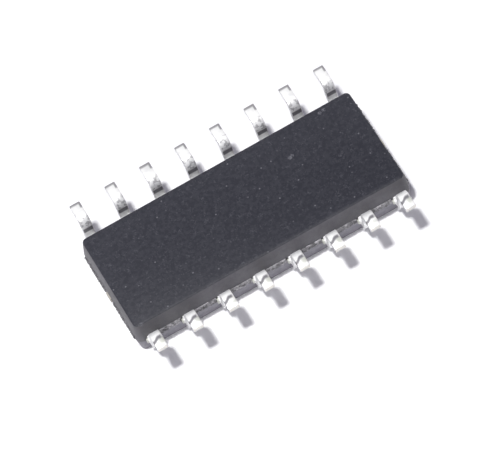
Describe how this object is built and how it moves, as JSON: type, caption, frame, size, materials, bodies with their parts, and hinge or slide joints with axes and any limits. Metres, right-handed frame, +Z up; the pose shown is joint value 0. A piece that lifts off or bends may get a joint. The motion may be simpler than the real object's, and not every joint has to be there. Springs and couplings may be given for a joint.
{
  "type": "integrated circuit",
  "caption": "Small-outline integrated circuit: a matte black moulded body with tinned gull-wing leads along both long sides, lying on its back with its feet up.",
  "frame": {"origin": "centre of the marking face, on the surface that the part lies on", "axes": "+X along the body, from the end with the first and last leads to the other; +Y towards the row of leads 1 to 8; +Z up, out of the underside that faces the board in use"},
  "size_m": [0.01, 0.0062, 0.0018],
  "materials": {
    "mould_compound": "matte, spark-eroded mould texture",
    "tinned_lead": "matte tin plate",
    "copper_alloy": "rolled sheet",
    "die_glue": "silver-filled adhesive",
    "silicon": "polished",
    "gold_wire": "drawn wire"
  },
  "bodies": {
    "root": {"package_body": "mould_compound", "lead_1": "tinned_lead", "lead_2": "tinned_lead", "lead_3": "tinned_lead", "lead_4": "tinned_lead", "lead_5": "tinned_lead", "lead_6": "tinned_lead", "lead_7": "tinned_lead", "lead_8": "tinned_lead", "lead_9": "tinned_lead", "lead_10": "tinned_lead", "lead_11": "tinned_lead", "lead_12": "tinned_lead", "lead_13": "tinned_lead", "lead_14": "tinned_lead", "lead_15": "tinned_lead", "lead_16": "tinned_lead", "die_paddle": "copper_alloy", "die_attach": "die_glue", "die": "silicon", "bond_wire_1": "gold_wire", "bond_wire_2": "gold_wire", "bond_wire_3": "gold_wire", "bond_wire_4": "gold_wire", "bond_wire_5": "gold_wire", "bond_wire_6": "gold_wire", "bond_wire_7": "gold_wire", "bond_wire_8": "gold_wire", "bond_wire_9": "gold_wire", "bond_wire_10": "gold_wire", "bond_wire_11": "gold_wire", "bond_wire_12": "gold_wire", "bond_wire_13": "gold_wire", "bond_wire_14": "gold_wire", "bond_wire_15": "gold_wire", "bond_wire_16": "gold_wire"}
  },
  "joints": []
}
